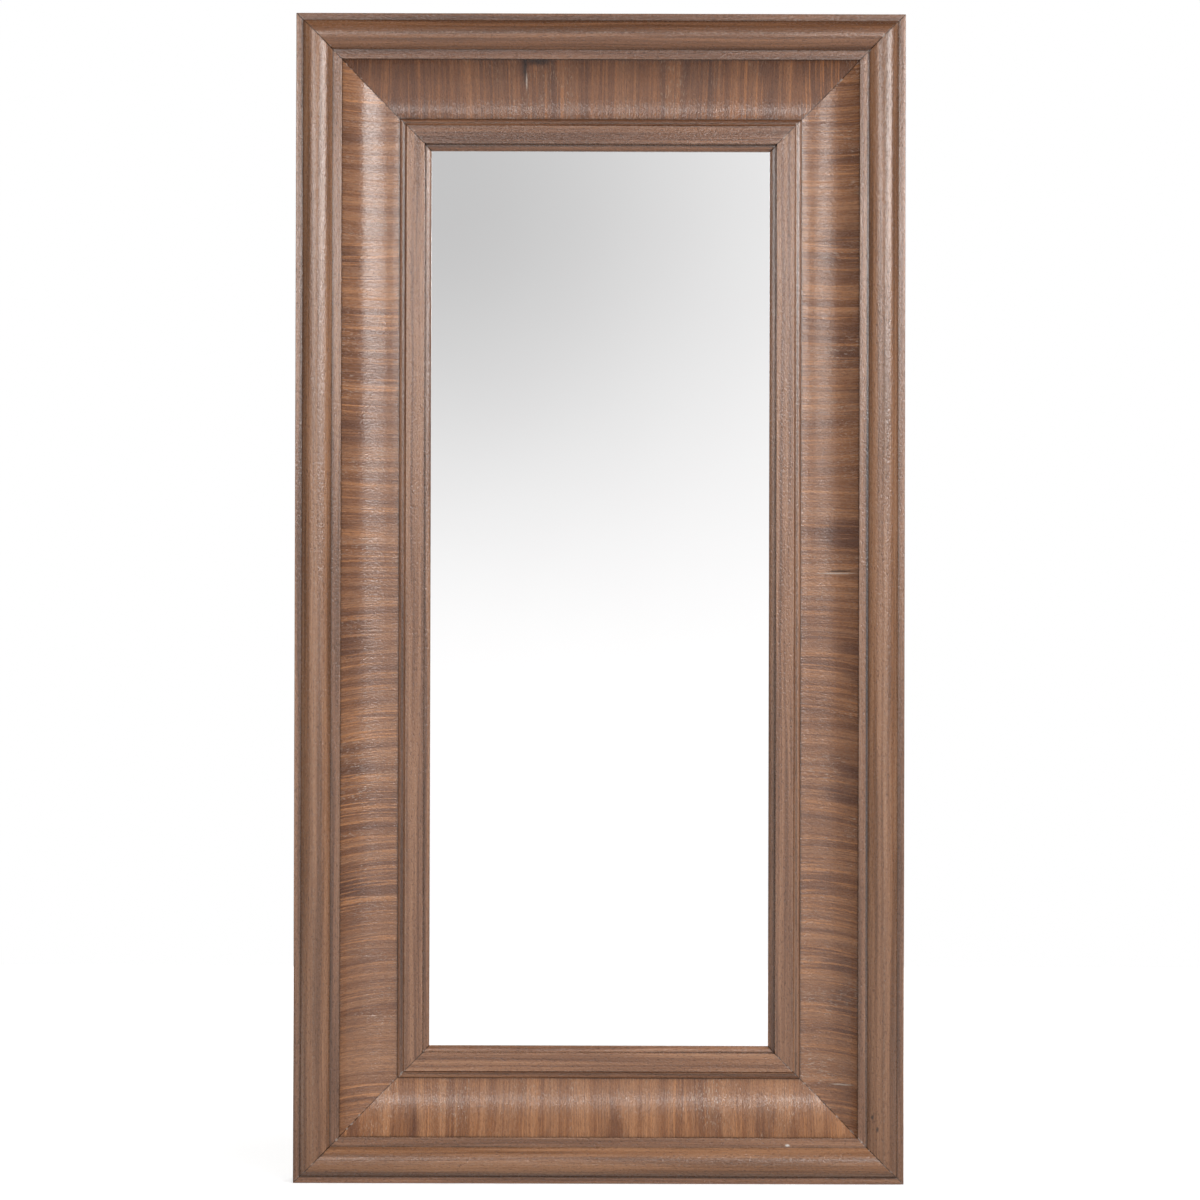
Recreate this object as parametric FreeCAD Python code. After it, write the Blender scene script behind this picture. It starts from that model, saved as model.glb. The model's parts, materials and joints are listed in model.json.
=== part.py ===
import FreeCAD, Part
import math
import os

os.makedirs("parts", exist_ok=True)

# Overall size of the frame, in millimetres
overall_width = 1095.0
overall_height = 2100.0

# Outer frame: a flat walnut member with a leg that reaches back to the wall
outer_frame_width = 82.5
outer_frame_depth = 94.0
outer_leg_width = 34.0
eased_edge = 1.5

# Half-round torus moulding, planted on the outer frame
torus_inset = 12.5
torus_width = 53.0
torus_crest_inset = 24.0
torus_rise = 17.0
torus_shoulder = 2.0

# Scoop: a hollow that falls from the outer frame and turns level before the sight moulding
scoop_width = 102.0
scoop_step = 4.0
scoop_drop = 46.0
scoop_run_out = 12.0

# Walnut veneer in the scoop, in leaves with the grain across each side
veneer_thickness = 0.9
leaf_width = 108.0

# Sight moulding: an ogee, a flat, and a lower slip that ends in the lip over the glass
bead_reveal = 1.2
bead_width = 7.5
bead_rise = 3.8
cove_run = 5.5
cove_rise = 5.0
flat_width = 32.0
flat_arris = 1.0
step_batter = 1.0
slip_width = 11.0
slip_thickness = 8.5
lip_thickness = 4.5

# Plywood sub-frame that carries the mouldings, set in from the wall
back_recess = 12.0
backing_thickness = 16.0

# Loose tongues across the mitres of the outer frame
spline_length = 50.0
spline_width = 36.0
spline_thickness = 8.0
spline_slack = 0.1

# Mirror glass in its rebate, with pads below it and stops behind it
glass_thickness = 5.0
glass_arris = 0.7
glass_overlap = 9.5
glass_edge_gap = 2.5
setting_block_length = 50.0
setting_block_spacing = 320.0
stop_width = 11.0

# Back panel over the rebate
panel_thickness = 5.0
panel_overlap = 18.0
panel_corner_radius = 6.0

# Wood screws: six-sided heads and shanks, in holes of the same form
screw_sides = 6
screw_slack = 0.05
panel_screw_head_radius = 4.0
panel_screw_head_height = 2.2
panel_screw_shank_radius = 1.75
panel_screw_length = 16.0
panel_screw_end_inset = 40.0
panel_screw_spacing = 600.0
hanger_screw_head_radius = 4.5
hanger_screw_head_height = 2.8
hanger_screw_shank_radius = 2.25
hanger_screw_length = 18.0

# Strap hangers and the D-rings that swing in them
hanger_drop = 450.0
strap_width = 28.0
strap_sheet = 1.6
strap_fold_fillet = 2.0
strap_end_radius = 8.0
strap_screw_count = 3
strap_screw_pitch = 16.0
strap_end_margin = 10.0
ring_wire = 5.0
ring_sides = 8
ring_bar_length = 34.0
ring_corner_radius = 6.0
ring_leg_length = 6.0
ring_bore_clearance = 0.05
ring_rest_gap = 0.3

# Places across a side, measured inwards from the outer edge
scoop_start = outer_frame_width
scoop_end = scoop_start + scoop_width
scoop_bottom = scoop_end - scoop_run_out
cove_start = scoop_end + bead_width
flat_start = cove_start + cove_run
flat_end = flat_start + flat_width
slip_start = flat_end + step_batter
sight_edge = slip_start + slip_width
glass_edge = sight_edge - glass_overlap
backing_inner_edge = glass_edge - glass_edge_gap
panel_edge = backing_inner_edge - panel_overlap

# Levels above the wall
bed = back_recess + backing_thickness
crest_level = outer_frame_depth + torus_rise
torus_foot_level = outer_frame_depth + torus_shoulder
scoop_top_level = outer_frame_depth - scoop_step
scoop_bottom_level = scoop_top_level - scoop_drop
scoop_run = scoop_bottom - scoop_start
scoop_radius = (scoop_run**2 + scoop_drop**2) / (2 * scoop_drop)
glass_back_level = bed - glass_thickness

ALONG = FreeCAD.Vector(1, 0, 0)
TO_WALL = FreeCAD.Vector(0, 1, 0)
MITRE_ANGLE = 45

# Each side of the frame: its outer length, its turn about the front-to-back axis, and its outer middle
SIDES = {
    "bottom": (overall_width, 0, FreeCAD.Vector(0, 0, 0)),
    "top": (overall_width, 180, FreeCAD.Vector(0, 0, overall_height)),
    "left": (overall_height, 90, FreeCAD.Vector(-overall_width / 2, 0, overall_height / 2)),
    "right": (overall_height, -90, FreeCAD.Vector(overall_width / 2, 0, overall_height / 2)),
}

nodes = {}


def on_side(shape, side):
    """A piece drawn along the bottom side, turned and moved to its own side of the frame."""
    _, turn, middle = SIDES[side]
    placed = shape.copy()
    placed.Placement = FreeCAD.Placement(middle, FreeCAD.Rotation(TO_WALL, turn)) * shape.Placement
    return placed


def block(length, inner, outer, back, front):
    """A square-ended bar along a side, between two insets and two levels above the wall."""
    corner = FreeCAD.Vector(-length / 2, -front, outer)
    return Part.makeBox(length, front - back, inner - outer, corner)


def in_section(inset, level):
    """A point of a side's cross-section."""
    return FreeCAD.Vector(0, -level, inset)


def section(start, *moves):
    """Closed cross-section: a move is a point for a straight run, or a pair (via, end) for an arc."""
    edges = []
    here = in_section(*start)
    for move in moves:
        if isinstance(move[0], tuple):
            via, end = move
            there = in_section(*end)
            edges.append(Part.Arc(here, in_section(*via), there).toShape())
        else:
            there = in_section(*move)
            edges.append(Part.makeLine(here, there))
        here = there
    if here.distanceToPoint(in_section(*start)) > Part.Precision.confusion():
        edges.append(Part.makeLine(here, in_section(*start)))
    return Part.Face(Part.Wire(edges))


def level_arc_via(level_end, other_end):
    """Middle of the arc that runs level at one end and meets the other end."""
    run = other_end[0] - level_end[0]
    drop = level_end[1] - other_end[1]
    half_turn = math.atan2(drop, abs(run))
    radius = (run**2 + drop**2) / (2 * drop)
    along = math.copysign(radius * math.sin(half_turn), run)
    return (level_end[0] + along, level_end[1] - radius * (1 - math.cos(half_turn)))


def rounded_corner_via(corner, inward, down):
    """Middle of a quarter round that eases a square corner of a cross-section."""
    share = 1 - math.cos(math.radians(MITRE_ANGLE))
    return (corner[0] + inward * share, corner[1] - down * share)


def mitre_wedge(length):
    """The space between the two mitre planes of a side."""
    half = length / 2
    inset = sight_edge
    corners = [(-half, 0), (half, 0), (half - inset, inset), (-half + inset, inset), (-half, 0)]
    outline = Part.makePolygon([FreeCAD.Vector(along, 0, inwards) for along, inwards in corners])
    return Part.Face(outline).extrude(FreeCAD.Vector(0, -crest_level, 0))


def mitred(face, length):
    """A moulding of one cross-section, mitred at both ends."""
    bar = face.translated(FreeCAD.Vector(-length / 2, 0, 0)).extrude(FreeCAD.Vector(length, 0, 0))
    return bar.common(mitre_wedge(length)).Solids[0]


def row_of_places(span, spacing):
    """Even places along a span, centred, no further apart than the spacing."""
    gaps = math.ceil(span / spacing)
    return [span * (step / gaps - 0.5) for step in range(gaps + 1)]


def pin(radius, top, depth):
    """Straight many-sided pin, from a height above the surface to a depth below it."""
    turns = [2 * math.pi * corner / screw_sides for corner in range(screw_sides + 1)]
    corners = [FreeCAD.Vector(radius * math.cos(turn), top, radius * math.sin(turn)) for turn in turns]
    return Part.Face(Part.makePolygon(corners)).extrude(FreeCAD.Vector(0, -top - depth, 0))


def screw(head_radius, head_height, shank_radius, length):
    """Raised-head screw whose head sits on the surface."""
    return pin(head_radius, head_height, 0).fuse(pin(shank_radius, 0, length))


def screw_hole(shank_radius, length):
    """Hole that the shank of a screw sits in."""
    return pin(shank_radius + screw_slack, 0, length + screw_slack)


def at_each(solid, spots):
    """Copies of a solid, one at each spot."""
    return [solid.translated(spot) for spot in spots]


def runs_along(edge, axis):
    """Whether an edge starts out along an axis, either way."""
    return math.isclose(abs(edge.tangentAt(edge.FirstParameter).dot(axis)), 1)


# Outer frame members, with slots for the mitre tongues
outer_corner = (0, outer_frame_depth)
inner_corner = (outer_frame_width, outer_frame_depth)
outer_section = section(
    (0, 0),
    (0, outer_frame_depth - eased_edge),
    (rounded_corner_via(outer_corner, eased_edge, eased_edge), (eased_edge, outer_frame_depth)),
    (outer_frame_width - eased_edge, outer_frame_depth),
    (
        rounded_corner_via(inner_corner, -eased_edge, eased_edge),
        (outer_frame_width, outer_frame_depth - eased_edge),
    ),
    (outer_frame_width, bed),
    (outer_leg_width, bed),
    (outer_leg_width, 0),
)


def mitre_tongue(length, end, slack):
    """Tongue across the mitre at one end of a side, halfway through the member."""
    size = FreeCAD.Vector(spline_length, spline_thickness, spline_width) + FreeCAD.Vector(2, 2, 2) * slack
    tongue = Part.makeBox(size.x, size.y, size.z, size * -0.5)
    middle = outer_frame_width / 2
    level = (bed + outer_frame_depth) / 2
    place = FreeCAD.Vector(end * (length / 2 - middle), -level, middle)
    tongue.Placement = FreeCAD.Placement(place, FreeCAD.Rotation(TO_WALL, MITRE_ANGLE * end))
    return tongue


for side, (length, _, _) in SIDES.items():
    slots = [mitre_tongue(length, end, spline_slack) for end in (-1, 1)]
    nodes["outer_frame_" + side] = on_side(mitred(outer_section, length).cut(slots), side)
nodes["mitre_splines"] = Part.makeCompound(
    [on_side(mitre_tongue(overall_width, end, 0), side) for side in ("bottom", "top") for end in (-1, 1)]
)

# Torus mouldings: two arcs that meet level at the crest
torus_outer_foot = (torus_inset, torus_foot_level)
torus_inner_foot = (torus_inset + torus_width, torus_foot_level)
torus_crest = (torus_inset + torus_crest_inset, crest_level)
torus_section = section(
    (torus_inset, outer_frame_depth),
    torus_outer_foot,
    (level_arc_via(torus_crest, torus_outer_foot), torus_crest),
    (level_arc_via(torus_crest, torus_inner_foot), torus_inner_foot),
    (torus_inset + torus_width, outer_frame_depth),
)
for side, (length, _, _) in SIDES.items():
    nodes["torus_moulding_" + side] = on_side(mitred(torus_section, length), side)


# Scoop cores and the veneer leaves laid in them
def scoop_level(inset, below):
    """Level of the hollow, or of a surface that lies a set thickness below it."""
    radius = scoop_radius + below
    return scoop_bottom_level + scoop_radius - math.sqrt(radius**2 - (inset - scoop_bottom) ** 2)


def scoop_arc(inset, below):
    """Arc of the hollow through its lowest line to a given inset."""
    return ((scoop_bottom, scoop_bottom_level - below), (inset, scoop_level(inset, below)))


core_section = section(
    (scoop_start, bed),
    (scoop_start, scoop_level(scoop_start, veneer_thickness)),
    scoop_arc(scoop_end, veneer_thickness),
    (scoop_end, bed),
)
veneer_section = section(
    (scoop_start, scoop_level(scoop_start, veneer_thickness)),
    (scoop_start, scoop_level(scoop_start, 0)),
    scoop_arc(scoop_end, 0),
    (scoop_end, scoop_level(scoop_end, veneer_thickness)),
    scoop_arc(scoop_start, veneer_thickness),
)
for side, (length, _, _) in SIDES.items():
    nodes["scoop_core_" + side] = on_side(mitred(core_section, length), side)
    veneer_length = length - 2 * scoop_start
    leaf_count = round(veneer_length / leaf_width)
    pitch = veneer_length / leaf_count
    wedge = mitre_wedge(length)
    leaves = []
    for leaf in range(leaf_count):
        leaf_start = FreeCAD.Vector(leaf * pitch - veneer_length / 2, 0, 0)
        strip = veneer_section.translated(leaf_start).extrude(FreeCAD.Vector(pitch, 0, 0))
        leaves += strip.common(wedge).Solids
    nodes["crossband_veneer_" + side] = on_side(Part.makeCompound(leaves), side)

# Sight mouldings: ogee beside the scoop, flat, and the slip whose lip covers the glass
bead_foot = (scoop_end, scoop_level(scoop_end, 0) + bead_reveal)
bead_top = (cove_start, bead_foot[1] + bead_rise)
flat_level = bead_top[1] + cove_rise
flat_inner_corner = (flat_end, flat_level)
slip_top = (slip_start, bed + slip_thickness)
lip_edge = (sight_edge, bed + lip_thickness)
sight_section = section(
    (scoop_end, bed),
    bead_foot,
    (level_arc_via(bead_top, bead_foot), bead_top),
    (level_arc_via(bead_top, (flat_start, flat_level)), (flat_start, flat_level)),
    (flat_end - flat_arris, flat_level),
    (rounded_corner_via(flat_inner_corner, -flat_arris, flat_arris), (flat_end, flat_level - flat_arris)),
    slip_top,
    (level_arc_via(slip_top, lip_edge), lip_edge),
    (sight_edge, bed),
)
for side, (length, _, _) in SIDES.items():
    nodes["sight_moulding_" + side] = on_side(mitred(sight_section, length), side)

# Glass with eased edges, and the pads that it stands on
glass_width = overall_width - 2 * glass_edge
glass_height = overall_height - 2 * glass_edge
glass = Part.makeBox(
    glass_width, glass_thickness, glass_height, FreeCAD.Vector(-glass_width / 2, -bed, glass_edge)
)
nodes["mirror_glass"] = glass.makeChamfer(glass_arris, glass.Edges)
setting_block = block(setting_block_length, glass_edge, backing_inner_edge, glass_back_level, bed)
nodes["setting_blocks"] = Part.makeCompound(
    [setting_block.translated(FreeCAD.Vector(end * setting_block_spacing / 2, 0, 0)) for end in (-1, 1)]
)

# Stops behind the glass: the upright pair stands between the other two
for side, (length, _, _) in SIDES.items():
    stop_length = length - 2 * backing_inner_edge
    if side in ("left", "right"):
        stop_length -= 2 * stop_width
    stop_inner_edge = backing_inner_edge + stop_width
    stop = block(stop_length, stop_inner_edge, backing_inner_edge, back_recess, glass_back_level)
    nodes["glass_stop_" + side] = on_side(stop, side)

# Back panel and its screws
panel_width = overall_width - 2 * panel_edge
panel_height = overall_height - 2 * panel_edge
panel = Part.makeBox(
    panel_width, panel_thickness, panel_height, FreeCAD.Vector(-panel_width / 2, -back_recess, panel_edge)
)
corner_edges = [edge for edge in panel.Edges if runs_along(edge, TO_WALL)]
panel = panel.makeFillet(panel_corner_radius, corner_edges)
panel_screw_line = panel_edge + panel_overlap / 2
panel_screw = screw(
    panel_screw_head_radius, panel_screw_head_height, panel_screw_shank_radius, panel_screw_length
)
panel_screw_hole = screw_hole(panel_screw_shank_radius, panel_screw_length)
panel_back_level = back_recess - panel_thickness
panel_screws = []
panel_holes = []
for side, (length, _, _) in SIDES.items():
    places = row_of_places(length - 2 * (panel_edge + panel_screw_end_inset), panel_screw_spacing)
    spots = [FreeCAD.Vector(place, -panel_back_level, panel_screw_line) for place in places]
    panel_screws += [on_side(copy, side) for copy in at_each(panel_screw, spots)]
    panel_holes += [on_side(copy, side) for copy in at_each(panel_screw_hole, spots)]
nodes["back_panel"] = panel.cut(panel_holes)
nodes["back_panel_screws"] = Part.makeCompound(panel_screws)
backing_holes = list(panel_holes)

# Strap hangers: a folded strap whose eye holds the bar of the D-ring
eye_bore = ring_wire / 2 + ring_bore_clearance
eye_radius = eye_bore + strap_sheet
strap_thickness = 2 * strap_sheet
ring_half_width = ring_bar_length / 2 + ring_corner_radius
ring_shoulder_drop = ring_corner_radius + ring_leg_length
ring_reach = ring_shoulder_drop + ring_half_width + ring_wire / 2
strap_first_screw = ring_reach + 2 * hanger_screw_head_radius
strap_length = strap_first_screw + (strap_screw_count - 1) * strap_screw_pitch + strap_end_margin


def strap_hanger():
    """Strap with its plate below the eye; its back lies on the plane y = 0."""
    half = strap_width / 2
    plate = Part.makeBox(strap_width, strap_thickness, strap_length, FreeCAD.Vector(-half, 0, -strap_length))
    foot_edges = [
        edge
        for edge in plate.Edges
        if runs_along(edge, TO_WALL) and edge.CenterOfMass.z < -strap_length / 2
    ]
    plate = plate.makeFillet(strap_end_radius, foot_edges)
    eye_end = FreeCAD.Vector(-half, eye_radius, 0)
    strap = plate.fuse(Part.makeCylinder(eye_radius, strap_width, eye_end, ALONG)).removeSplitter()
    fold_edges = [
        edge
        for edge in strap.Edges
        if runs_along(edge, ALONG)
        and math.isclose(edge.CenterOfMass.y, strap_thickness)
        and edge.CenterOfMass.z > -2 * eye_radius
    ]
    strap = strap.makeFillet(strap_fold_fillet, fold_edges)
    return strap.cut(Part.makeCylinder(eye_bore, strap_width, eye_end, ALONG))


def d_ring():
    """Wire ring hanging below its bar, whose axis is the local X axis: round bar, many-sided bow."""
    bar_end = FreeCAD.Vector(ring_bar_length / 2, 0, 0)
    turns = [2 * math.pi * (corner + 0.5) / ring_sides for corner in range(ring_sides + 1)]
    rim = [FreeCAD.Vector(0, math.cos(turn), math.sin(turn)) * (ring_wire / 2) for turn in turns]
    wire = Part.Face(Part.makePolygon([bar_end + corner for corner in rim]))
    leg = FreeCAD.Vector(0, 0, -ring_leg_length)
    corner_drop = FreeCAD.Vector(0, 0, -ring_corner_radius)
    stretches = [Part.makeCylinder(ring_wire / 2, ring_bar_length, bar_end * -1, ALONG)]
    for centre, turn, run in (
        (bar_end + corner_drop, 90, leg),
        (corner_drop + leg, 180, leg * -1),
        (corner_drop - bar_end, 90, None),
    ):
        stretches.append(wire.revolve(centre, TO_WALL, turn))
        wire = wire.rotated(centre, TO_WALL, turn)
        if run:
            stretches.append(wire.extrude(run))
            wire = wire.translated(run)
    return stretches[0].fuse(stretches[1:]).removeSplitter().Solids[0]


# At rest the ring lies over its strap, a small gap clear of it where it crosses the strap's edges
crossing = ring_shoulder_drop + math.sqrt(ring_half_width**2 - (strap_width / 2) ** 2) - ring_wire / 2
rest_rise = strap_thickness + ring_rest_gap + ring_wire / 2 - eye_radius
ring_rest_tilt = math.degrees(math.asin(rest_rise / crossing))
hanger_screw = screw(
    hanger_screw_head_radius, hanger_screw_head_height, hanger_screw_shank_radius, hanger_screw_length
)
hanger_screw_hole = screw_hole(hanger_screw_shank_radius, hanger_screw_length)
hanger_inset = (outer_leg_width + backing_inner_edge) / 2
hanger_screws = []
for side, end in (("left", -1), ("right", 1)):
    across = end * (overall_width / 2 - hanger_inset)
    eye = FreeCAD.Vector(across, -back_recess, overall_height - hanger_drop)
    drops = [strap_first_screw + step * strap_screw_pitch for step in range(strap_screw_count)]
    spots = [eye + FreeCAD.Vector(0, strap_thickness, -drop) for drop in drops]
    holes = at_each(hanger_screw_hole, spots)
    nodes["hanger_strap_" + side] = strap_hanger().translated(eye).cut(holes)
    ring = d_ring()
    bar_middle = eye + FreeCAD.Vector(0, eye_radius, 0)
    ring.Placement = FreeCAD.Placement(bar_middle, FreeCAD.Rotation(ALONG, ring_rest_tilt))
    nodes["hanger_ring_" + side] = ring
    hanger_screws += at_each(hanger_screw, spots)
    backing_holes += holes
nodes["hanger_screws"] = Part.makeCompound(hanger_screws)

# Sub-frame: rails keep the front half of the thickness in the corner laps, stiles the back half
lap_level = back_recess + backing_thickness / 2
for side, (length, _, _) in SIDES.items():
    backing = block(length - 2 * outer_leg_width, backing_inner_edge, outer_leg_width, back_recess, bed)
    upright = side in ("left", "right")
    lap_back, lap_front = (lap_level, bed) if upright else (back_recess, lap_level)
    lap_length = backing_inner_edge - outer_leg_width
    lap = block(lap_length, backing_inner_edge, outer_leg_width, lap_back, lap_front)
    lap_middle = length / 2 - outer_leg_width - lap_length / 2
    laps = [lap.translated(FreeCAD.Vector(end * lap_middle, 0, 0)) for end in (-1, 1)]
    kind = "backing_stile_" if upright else "backing_rail_"
    nodes[kind + side] = on_side(backing.cut(laps), side).cut(backing_holes)

for name, shape in nodes.items():
    shape.exportStep("parts/" + name + ".step")
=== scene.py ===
import json
import math

import bpy
import numpy as np
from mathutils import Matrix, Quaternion, Vector


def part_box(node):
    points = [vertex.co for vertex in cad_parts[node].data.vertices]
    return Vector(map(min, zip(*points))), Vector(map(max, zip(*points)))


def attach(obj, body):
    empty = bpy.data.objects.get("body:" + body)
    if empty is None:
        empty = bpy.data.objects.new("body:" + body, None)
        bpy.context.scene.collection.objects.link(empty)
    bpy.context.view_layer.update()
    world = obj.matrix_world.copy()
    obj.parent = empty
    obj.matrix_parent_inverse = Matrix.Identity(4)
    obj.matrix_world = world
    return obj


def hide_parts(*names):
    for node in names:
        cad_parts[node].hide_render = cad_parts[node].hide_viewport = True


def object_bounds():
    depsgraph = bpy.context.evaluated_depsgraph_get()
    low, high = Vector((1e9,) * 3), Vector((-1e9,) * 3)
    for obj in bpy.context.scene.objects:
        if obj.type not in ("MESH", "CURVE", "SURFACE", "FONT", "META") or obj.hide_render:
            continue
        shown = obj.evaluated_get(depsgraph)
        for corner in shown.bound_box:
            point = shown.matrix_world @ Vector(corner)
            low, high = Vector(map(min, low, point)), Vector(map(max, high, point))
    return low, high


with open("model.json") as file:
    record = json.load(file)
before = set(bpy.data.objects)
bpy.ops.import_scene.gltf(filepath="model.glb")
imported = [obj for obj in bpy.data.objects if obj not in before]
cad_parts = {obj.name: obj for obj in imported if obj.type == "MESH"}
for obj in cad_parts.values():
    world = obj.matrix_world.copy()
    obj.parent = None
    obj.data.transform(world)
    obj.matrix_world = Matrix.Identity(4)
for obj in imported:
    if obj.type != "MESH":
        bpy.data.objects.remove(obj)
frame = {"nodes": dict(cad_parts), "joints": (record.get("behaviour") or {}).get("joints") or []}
cad_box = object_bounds()


# Plywood sub-frame: four lengths of birch plywood, half-lapped and glued, which carry every moulding.
# It shows only from behind, as a sanded face whose pale grain runs along each length.


def wired(tree, kind, sockets, **settings):
    """A shader node with its settings, and its inputs by name or number: a value, or a socket to link."""
    node = tree.nodes.new(kind)
    for key, value in settings.items():
        setattr(node, key, value)
    for key, value in sockets.items():
        if isinstance(value, bpy.types.NodeSocket):
            tree.links.new(value, node.inputs[key])
        else:
            node.inputs[key].default_value = value
    return node


def calc(tree, operation, *terms):
    """One step of arithmetic on sockets or numbers."""
    return wired(tree, "ShaderNodeMath", dict(enumerate(terms)), operation=operation).outputs[0]


def remapped(tree, value, low, high, to_low=0.0, to_high=1.0):
    """A value eased from one range to another, and held at the ends."""
    sockets = {"Value": value, "From Min": low, "From Max": high, "To Min": to_low, "To Max": to_high}
    return wired(tree, "ShaderNodeMapRange", sockets, interpolation_type="SMOOTHSTEP").outputs[0]


def tinted(tree, share, first, second, blend="MIX"):
    """Two colours mixed by a share."""
    sockets = {0: share, 6: first, 7: second}
    return wired(tree, "ShaderNodeMix", sockets, data_type="RGBA", blend_type=blend).outputs[2]


def toned(tree, value, *colours):
    """A colour read off an even row of colours by a value from 0 to 1."""
    node = wired(tree, "ShaderNodeValToRGB", {0: value})
    row = node.color_ramp.elements
    for place in np.linspace(0, 1, len(colours))[1:-1]:
        row.new(float(place))
    for stop, colour in zip(row, colours):
        stop.color = colour
    return node.outputs[0]


def stretched(tree, vector, *scale):
    """Coordinates multiplied by a scale for each axis, in cells per metre."""
    return wired(tree, "ShaderNodeVectorMath", {0: vector, 1: scale}, operation="MULTIPLY").outputs[0]


def mottle(tree, vector, detail=2.0):
    """Cloudy value about 0.5, one cell per unit of the coordinates."""
    return wired(tree, "ShaderNodeTexNoise", {"Vector": vector, "Scale": 1.0, "Detail": detail}).outputs[0]


def effect(name, inputs, outputs):
    """An empty node group with named sockets: the tree, what it is given and what it puts out."""
    tree = bpy.data.node_groups.new(name, "ShaderNodeTree")
    for label, default in inputs.items():
        kind = "NodeSocketVector" if isinstance(default, tuple) else "NodeSocketFloat"
        tree.interface.new_socket(name=label, in_out="INPUT", socket_type=kind).default_value = default
    for label in outputs:
        tree.interface.new_socket(name=label, in_out="OUTPUT", socket_type="NodeSocketFloat")
    return tree, tree.nodes.new("NodeGroupInput").outputs, tree.nodes.new("NodeGroupOutput")


def build_wood_figure():
    """Wood cut along the grain: slow bands, rings, fine lines and short pores, drawn out along one axis.

    A ring darkens slowly across its width and ends at once, as early wood turns to late wood.
    """
    tree, given, put = effect(
        "wood_figure",
        {
            "Grain": (0.0, 0.0, 0.0),
            "Band": 0.01,
            "Ring": 0.004,
            "Line": 0.0015,
            "Pore": 0.001,
            "Wander": 0.004,
        },
        ("Bands", "Rings", "Lines", "Pores"),
    )
    axes = wired(tree, "ShaderNodeSeparateXYZ", {0: given["Grain"]}).outputs
    drift = calc(tree, "SUBTRACT", mottle(tree, stretched(tree, given["Grain"], 2.4, 20, 20)), 0.5)
    across = calc(tree, "MULTIPLY_ADD", drift, given["Wander"], axes["Y"])

    def layer(along, width, detail):
        """Mottle whose cells are a set width across the grain and drawn out along it."""
        cells = {
            "X": calc(tree, "MULTIPLY", axes["X"], along),
            "Y": calc(tree, "DIVIDE", across, width),
            "Z": calc(tree, "DIVIDE", axes["Z"], width),
        }
        return mottle(tree, wired(tree, "ShaderNodeCombineXYZ", cells).outputs[0], detail)

    bands = remapped(tree, layer(1.7, given["Band"], 3.0), 0.3, 0.7)
    ring_drift = layer(1.5, calc(tree, "MULTIPLY", given["Ring"], 4.0), 2.0)
    ring_place = calc(tree, "MULTIPLY_ADD", ring_drift, 5.0, calc(tree, "DIVIDE", across, given["Ring"]))
    ring_share = calc(tree, "FRACT", ring_place)
    ring_start = remapped(tree, ring_share, 0.2, 0.85)
    ring_end = remapped(tree, ring_share, 0.88, 1.0, 1.0, 0.0)
    late_wood = calc(tree, "MULTIPLY", ring_start, ring_end)
    patches = layer(2.5, calc(tree, "MULTIPLY", given["Ring"], 2.5), 1.0)
    rings = calc(tree, "MULTIPLY", late_wood, remapped(tree, patches, 0.40, 0.64))
    lines = remapped(tree, layer(8.0, given["Line"], 2.0), 0.32, 0.68)
    pores = remapped(tree, layer(150.0, given["Pore"], 1.0), 0.58, 0.7)
    for label, value in (("Bands", bands), ("Rings", rings), ("Lines", lines), ("Pores", pores)):
        tree.links.new(value, put.inputs[label])
    return tree


wood_figure = build_wood_figure()


def finished(name, **fixed):
    """A material, its tree and its shader's sockets, with those set that are the same all over."""
    material = bpy.data.materials.new(name)
    material.use_nodes = True
    shader = material.node_tree.nodes["Principled BSDF"]
    for label, value in fixed.items():
        shader.inputs[label.replace("_", " ")].default_value = value
    return material, material.node_tree, shader.inputs


def placed(tree, group, **sockets):
    """A shared effect in a material, given its own values: what it puts out."""
    return wired(tree, "ShaderNodeGroup", sockets, node_tree=group).outputs


def own_place(tree):
    """Where a point of the mirror is, in metres."""
    return wired(tree, "ShaderNodeTexCoord", {}).outputs["Object"]


def stained(tree, mask, strength, colour, stain, blend="MIX"):
    """A colour with a stain laid over it where a mask says, at a set strength."""
    return tinted(tree, calc(tree, "MULTIPLY", mask, strength), colour, stain, blend)


def raised(tree, shader, relief, depth):
    """A relief of a set depth, which tilts the shader's normal."""
    bump = wired(tree, "ShaderNodeBump", {"Strength": 1.0, "Distance": depth, "Height": relief})
    tree.links.new(bump.outputs[0], shader["Normal"])


def bare_wood(name, turn, pale, mid, dark, band):
    """Unfinished wood on a piece of the frame, with its grain along X unless it is turned."""
    material, tree, shader = finished(name, Specular_IOR_Level=0.3)
    place = own_place(tree)
    grain = wired(tree, "ShaderNodeMapping", {"Vector": place, "Rotation": (0, turn, 0)}).outputs[0]
    figure = placed(tree, wood_figure, Grain=grain, Band=band, Line=0.0022, Wander=0.03)
    ground = toned(tree, figure["Bands"], pale, mid, dark)
    fibres = stained(tree, figure["Lines"], 0.4, ground, dark)
    flecks = stained(tree, figure["Pores"], 0.5, fibres, dark)
    soil = remapped(tree, mottle(tree, stretched(tree, place, 5, 5, 5), 4.0), 0.5, 0.75, 0.0, 0.4)
    tree.links.new(tinted(tree, soil, flecks, mid, "MULTIPLY"), shader["Base Color"])
    tree.links.new(remapped(tree, figure["Lines"], 0, 1, 0.6, 0.78), shader["Roughness"])
    raised(tree, shader, calc(tree, "ADD", figure["Lines"], figure["Pores"]), 0.00012)
    return material


def dress(material, *names):
    """Gives carried-over pieces of the frame their finish."""
    for name in names:
        for slot in frame["nodes"][name].material_slots:
            slot.material = material


def dress_four(name, tones, rail, stile, band):
    """Bare wood on four pieces round the frame, with its grain along each of them."""
    upright = math.pi / 2
    dress(bare_wood(name + "_rail", 0, *tones, band), rail + "_top", rail + "_bottom")
    dress(bare_wood(name + "_stile", upright, *tones, band), stile + "_left", stile + "_right")


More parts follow.
